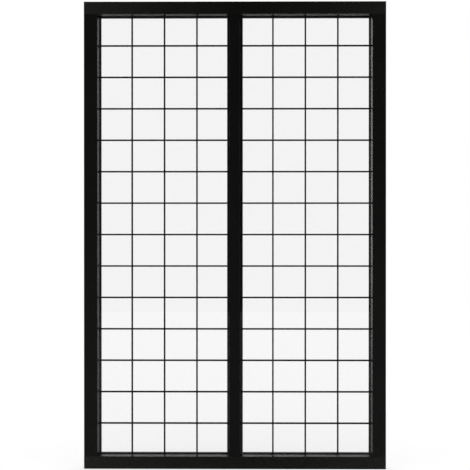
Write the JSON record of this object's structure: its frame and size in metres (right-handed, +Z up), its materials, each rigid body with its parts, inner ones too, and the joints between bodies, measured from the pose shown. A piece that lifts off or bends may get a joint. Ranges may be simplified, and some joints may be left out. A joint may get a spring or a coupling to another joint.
{
  "type": "interior glass partition",
  "caption": "Interior partition of gridded clear glass in a slim black aluminium frame with a central mullion, screwed into an opening.",
  "frame": {"origin": "middle of the underside of the bottom rail, on the sill or wall top that carries it", "axes": "+X along the partition to the right seen from its front, +Y from the front covers to the rear, +Z up"},
  "size_m": [0.84, 0.04, 1.3],
  "materials": {
    "powder_coat": "fine black powder coat on extruded aluminium",
    "grid_coat": "black coated flat bar",
    "glass": "clear toughened glass with arrissed edges",
    "seal": "black extruded glazing seal",
    "block": "grey moulded setting block"
  },
  "bodies": {
    "root": {"bottom_rail": "powder_coat", "top_rail": "powder_coat", "left_stile": "powder_coat", "right_stile": "powder_coat", "mullion": "powder_coat", "bottom_rail_cover": "powder_coat", "top_rail_cover": "powder_coat", "left_stile_cover": "powder_coat", "right_stile_cover": "powder_coat", "mullion_cover": "powder_coat", "left_pane": "glass", "right_pane": "glass", "left_setting_blocks": "block", "right_setting_blocks": "block", "left_front_seal": "seal", "left_rear_seal": "seal", "right_front_seal": "seal", "right_rear_seal": "seal", "left_front_grid": "grid_coat", "left_rear_grid": "grid_coat", "right_front_grid": "grid_coat", "right_rear_grid": "grid_coat"}
  },
  "joints": []
}
